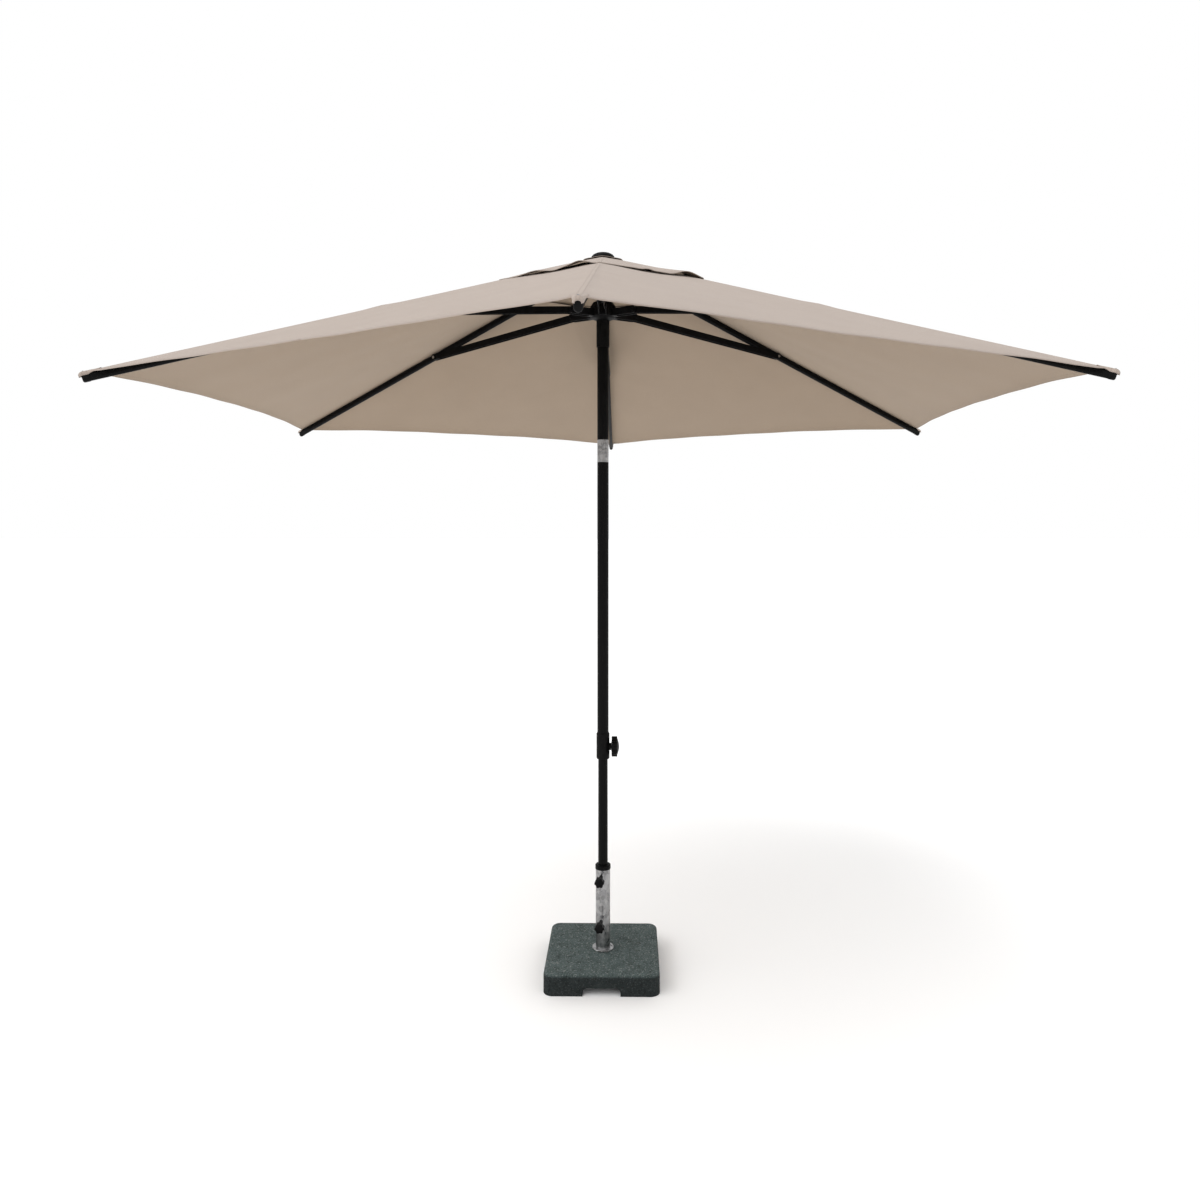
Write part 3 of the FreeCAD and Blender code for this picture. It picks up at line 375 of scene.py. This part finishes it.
def grid_place(row, column, inner, outer):
    """How far out along the rib a level line leaves it, and how far across the rib a point of it is."""
    share = 0.0 if column[0] == "seam" else column[1]
    edge = outer(share)
    first = edge - (HEM_WIDTH + 0.012)
    level = inner + (first - inner) * row[1] if row[0] == "gore" else edge - row[1]
    middle = level * math.cos(HALF_GORE) * math.sin(HALF_GORE)
    start = SEAM_HALF + 0.0008
    across = min(column[1], middle) if column[0] == "seam" else start + (middle - start) * column[1]
    return level, across, across / middle, edge


def thickness_at(across, to_edge):
    if to_edge <= HEM_WIDTH:
        return HEM_THICKNESS
    return SEAM_THICKNESS if across <= SEAM_HALF else CLOTH_THICKNESS


def rib_point(rib, side, radial, across, height):
    """A point given along, across and above a rib's line, turned to the rib's azimuth."""
    turned = Matrix.Rotation(rib_azimuth(rib), 3, "Z") @ Vector((radial, side * across, 0))
    return Vector((turned.x, turned.y, height))


def canopy_edge(share):
    """Where the scalloped hem crosses, as a distance along the rib, from the rib (0) to the gore's middle (1)."""
    middle = HEM_MIDDLE / math.cos(HALF_GORE)
    return middle + (CANOPY_TIP - middle) * (1 - share) ** 2


def ridge_round(across, fall, radius=0.006):
    """How much lower than a sharp crease the cloth lies where it bends over a rib."""
    return fall * math.tan(HALF_GORE) * (math.hypot(across, radius) - across)


GORE_SAG = 0.009
GORE_RIPPLE = 0.0012
HEM_HANG = 0.0035
PIVOT_RADIUS = 0.746  # where the struts meet the ribs, out from the pole
PIVOT_SWELL = 0.0028  # the cloth stands a little proud over each strut's pivot


def make_half_gore(rib, side):
    """The canopy from one rib to the middle of the gore beside it."""

    def place(row, column):
        level, across, share, edge = grid_place(row, column, VENT_HOLE, canopy_edge)
        reach = (level - VENT_HOLE) / (edge - VENT_HOLE)
        height = CANOPY_APEX + 0.0006 - FALL * level - ridge_round(across, FALL)
        height -= GORE_SAG * math.sin(math.pi / 2 * share) ** 1.8 * (0.55 + 0.45 * math.sin(math.pi * max(reach, 0)))
        height -= HEM_HANG * min(1.0, across / 0.03) * max(0.0, 1 - (edge - level) / 0.10) ** 2
        radial = level - across * math.tan(HALF_GORE)
        from_pivot = math.hypot((radial - PIVOT_RADIUS) / 0.035, across / 0.11)
        height += PIVOT_SWELL * math.exp(-from_pivot ** 2)
        point = rib_point(rib, side, radial, across, height)
        soft = min(1.0, share / 0.12)
        flutes = math.cos(6 * math.pi * share) * min(1.0, max(reach, 0) * 2)
        drift = noise.noise(Vector((point.x * 3.1, point.y * 3.1, 4.0)))
        point.z += soft * GORE_RIPPLE * (0.5 * flutes + 1.6 * drift)
        to_edge = (edge - level) * math.cos(HALF_GORE)
        return point, thickness_at(across, to_edge), (side * across, radial / math.cos(RIB_SLOPE)), (across, to_edge)

    name = f"canopy_{rib}_{'left' if side > 0 else 'right'}"
    piece = cloth_shell(name, hem_rows(44), seam_columns(22), place)
    outward_faces(piece, side)
    return piece


VENT_DROOP = 0.0225  # how far the loose edge hangs below the cap's own slope
# a wave of the vent cap's loose edge: azimuth in degrees from the front, width in degrees, lift in metres
VENT_WAVES = [
    (-11, 7, 0.018), (-21, 5, 0.005), (-40, 9, 0.011), (18, 6, 0.003), (28, 4, 0.006), (52, 7, 0.018),
    (84, 8, 0.005), (112, 9, 0.009), (146, 8, 0.006), (178, 9, 0.009), (212, 8, 0.008), (246, 9, 0.006),
    (276, 8, 0.009),
]
VENT_SAG = 0.009
VENT_CLEARANCE = 0.0022  # least gap between the middles of the vent cap and of the canopy under it
VENT_PATCH = 0.070


def vent_wave(azimuth):
    """Lift of the loose edge at an azimuth in radians."""
    front = math.degrees(azimuth) + 90
    lift = 0.0
    for centre, width, height in VENT_WAVES:
        away = (front - centre + 180) % 360 - 180
        lift += height * math.exp(-((away / width) ** 2))
    return lift


def vent_edge(share):
    return 0.372 - 0.012 * share


def make_vent_half(rib, side):
    """The vent cap's share from one rib to the middle of the gore beside it."""

    def place(row, column):
        level, across, share, edge = grid_place(row, column, VENT_PATCH - 0.022, vent_edge)
        reach = (level - VENT_PATCH) / (edge - VENT_PATCH)
        height = VENT_APEX + 0.0006 - VENT_FALL * level - ridge_round(across, VENT_FALL)
        radial = level - across * math.tan(HALF_GORE)
        point = rib_point(rib, side, radial, across, height)
        azimuth = math.atan2(point.y, point.x)
        point.z += (vent_wave(azimuth) - VENT_DROOP) * max(reach, 0) ** 2.8
        belly = math.sin(math.pi * min(max(reach, 0), 1))
        point.z -= VENT_SAG * belly * (0.5 + 0.5 * math.sin(math.pi / 2 * share))
        point.z = max(point.z, CANOPY_APEX - FALL * level + VENT_CLEARANCE)
        to_edge = (edge - level) * math.cos(HALF_GORE)
        thick = HEM_THICKNESS * 0.8 if to_edge <= HEM_WIDTH else CLOTH_THICKNESS
        return point, thick, (side * across, radial), (across, to_edge)

    name = f"vent_cap_{rib}_{'left' if side > 0 else 'right'}"
    piece = cloth_shell(name, hem_rows(18), seam_columns(16), place)
    outward_faces(piece, side)
    return piece


def gather_to_rib(piece, rib):
    """The piece follows its rib."""
    turned = Matrix.Rotation(rib_azimuth(rib), 3, "Z")
    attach(piece, f"rib_{rib}")
    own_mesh(piece)


def gore_area(inner, outer):
    """Cloth in half a gore, taking its hem as straight."""
    flat = outer(0) * outer(1) - inner ** 2
    return flat * math.cos(HALF_GORE) * math.sin(HALF_GORE) / 2 * math.hypot(1, FALL)


def make_canopy():
    for rib in RIBS:
        for side in (1, -1):
            gore = make_half_gore(rib, side)
            gather_to_rib(gore, rib)
            gore_area(VENT_HOLE, canopy_edge)
            cap = make_vent_half(rib, side)
            gather_to_rib(cap, rib)
            gore_area(VENT_PATCH - 0.022, vent_edge)
            if side > 0:
                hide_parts(f"canopy_{rib}")
            if side > 0 and rib == 1:
                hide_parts("vent_cap")


def make_vent_patch():
    """The doubled round of cloth under the finial that holds the vent cap's middle."""
    inner, steps, turns = 0.008, 10, 72

    def place(row, column):
        radius = inner + (VENT_PATCH - inner) * row
        angle = 2 * math.pi * column / turns
        share = abs((math.degrees(angle) + 30) % 60 - 30) / 30
        level = radius * (1 + 0.15 * (1 - share) * row) / 1.08
        height = VENT_APEX + 0.0026 - VENT_FALL * level * 0.98
        point = Vector((radius * math.cos(angle), radius * math.sin(angle), height))
        return point, 0.0012, (radius * angle, radius), (radius * angle, VENT_PATCH - radius)

    piece = cloth_shell("vent_cap_patch", [i / steps for i in range(steps + 1)], range(turns + 1), place)
    outward_faces(piece, 1)
    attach(piece, "upper_pole")


def make_tip_pocket(rib):
    """The canopy's corner, drawn over the top of the rib's end cap and hooked down past its end."""
    start, end = 0.050, -0.005
    reach = (RIB_END - HINGE_RADIUS) / math.cos(RIB_SLOPE)
    stations = [start + (end - start) * (i / 20) ** 0.7 for i in range(21)]
    arch = 16
    points, uvs = [], []
    turned = Matrix.Translation((HINGE_RADIUS, 0, HINGE_HEIGHT)) @ Matrix.Rotation(RIB_SLOPE, 4, "Y")
    turned = Matrix.Rotation(rib_azimuth(rib), 4, "Z") @ turned
    for setback in stations:
        opened = max(0.0, (setback - 0.018) / (start - 0.018))
        nose = max(0.0, (0.005 - setback) / 0.011)
        closed = math.sqrt(max(0.04, 1 - nose ** 2))
        radius = (CAP_RADIUS + 0.0012 + 0.007 * opened) * (0.30 + 0.70 * closed)
        skirt = 0.0045 + 0.0078 * opened ** 0.6 - 0.002 * nose
        crown = CAP_STRAIGHT + CAP_RADIUS + 0.0022 - 0.0012 * opened
        for k in range(arch + 1):
            angle = math.pi * (1 - k / arch)
            y = radius * math.cos(angle)
            z = skirt + (crown - skirt) * math.sin(angle) ** 0.75 * closed
            crinkle = noise.noise(Vector((setback * 190, k * 0.55, rib * 7.0)))
            points.append(turned @ Vector((reach - setback, y, z + 0.0005 * crinkle * math.sin(angle))))
            uvs.append(((k / arch - 0.5) * 0.04, setback))
    faces = []
    wide = arch + 1
    for i in range(len(stations) - 1):
        for j in range(arch):
            a = i * wide + j
            faces.append((a, a + 1, a + wide + 1, a + wide))
    mesh = bpy.data.meshes.new(f"tip_pocket_{rib}")
    mesh.from_pydata([tuple(p) for p in points], [], faces)
    for label in ("weave", "border"):
        layer = mesh.uv_layers.new(name=label)
        for loop in mesh.loops:
            layer.data[loop.index].uv = uvs[loop.vertex_index]
    mesh.materials.append(CLOTH)
    for face in mesh.polygons:
        face.use_smooth = True
    piece = bpy.data.objects.new(f"tip_pocket_{rib}", mesh)
    bpy.context.scene.collection.objects.link(piece)
    thicken = piece.modifiers.new("cloth", "SOLIDIFY")
    thicken.thickness = 0.0009
    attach(piece, f"rib_{rib}")


def make_button_spring():
    """The coil behind the tilt button, as a copy that rides with the upper pole."""
    coil = frame["nodes"]["tilt_spring"]
    mesh = coil.data.copy()
    mesh.transform(coil.matrix_world)
    piece = bpy.data.objects.new("button_coil", mesh)
    bpy.context.scene.collection.objects.link(piece)
    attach(piece, "upper_pole")
    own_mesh(piece)
    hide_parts("tilt_spring")


# ---------------------------------------------------------------- camera, floor and light


def make_camera():
    """The view from the front, at standing eye height, level."""
    camera = bpy.data.cameras.new("camera")
    camera.lens = 26.6
    camera.sensor_width = 36
    camera.shift_x = -0.0118
    camera.shift_y = -0.0683
    holder = bpy.data.objects.new("camera", camera)
    holder.location = (0.0823, -2.974, 1.506)
    holder.rotation_euler = (math.radians(90), 0, math.radians(0.862))
    bpy.context.scene.collection.objects.link(holder)
    bpy.context.scene.camera = holder


def make_floor():
    side = 60
    mesh = bpy.data.meshes.new("floor")
    corners = [(-side, -side, -0.0005), (side, -side, -0.0005), (side, side, -0.0005), (-side, side, -0.0005)]
    mesh.from_pydata(corners, [], [(0, 1, 2, 3)])
    material, _, shader = new_material("pale_floor", Roughness=0.9, Specular_IOR_Level=0.1)
    shader.inputs["Base Color"].default_value = (0.97, 0.97, 0.97, 1)
    mesh.materials.append(material)
    floor = bpy.data.objects.new("floor", mesh)
    bpy.context.scene.collection.objects.link(floor)


def make_sun(name, along, power, spread):
    """A broad, far-off lamp that shines along a direction."""
    light = bpy.data.lights.new(name, "SUN")
    light.energy = power
    light.angle = math.radians(spread)
    lamp = bpy.data.objects.new(name, light)
    lamp.rotation_euler = Vector(along).to_track_quat("-Z", "Y").to_euler()
    bpy.context.scene.collection.objects.link(lamp)


def make_light():
    world = bpy.data.worlds.new("studio")
    bpy.context.scene.world = world
    world.use_nodes = True
    world.node_tree.nodes["Background"].inputs["Color"].default_value = (1, 1, 1, 1)
    world.node_tree.nodes["Background"].inputs["Strength"].default_value = 1.0
    make_sun("key", (3.5, 3.0, -6.0), 1.75, 60)
    bpy.context.scene.view_settings.view_transform = "Standard"


make_camera()
finish_frame()
make_canopy()
make_vent_patch()
for rib_number in RIBS:
    make_tip_pocket(rib_number)
make_button_spring()
make_floor()
make_light()
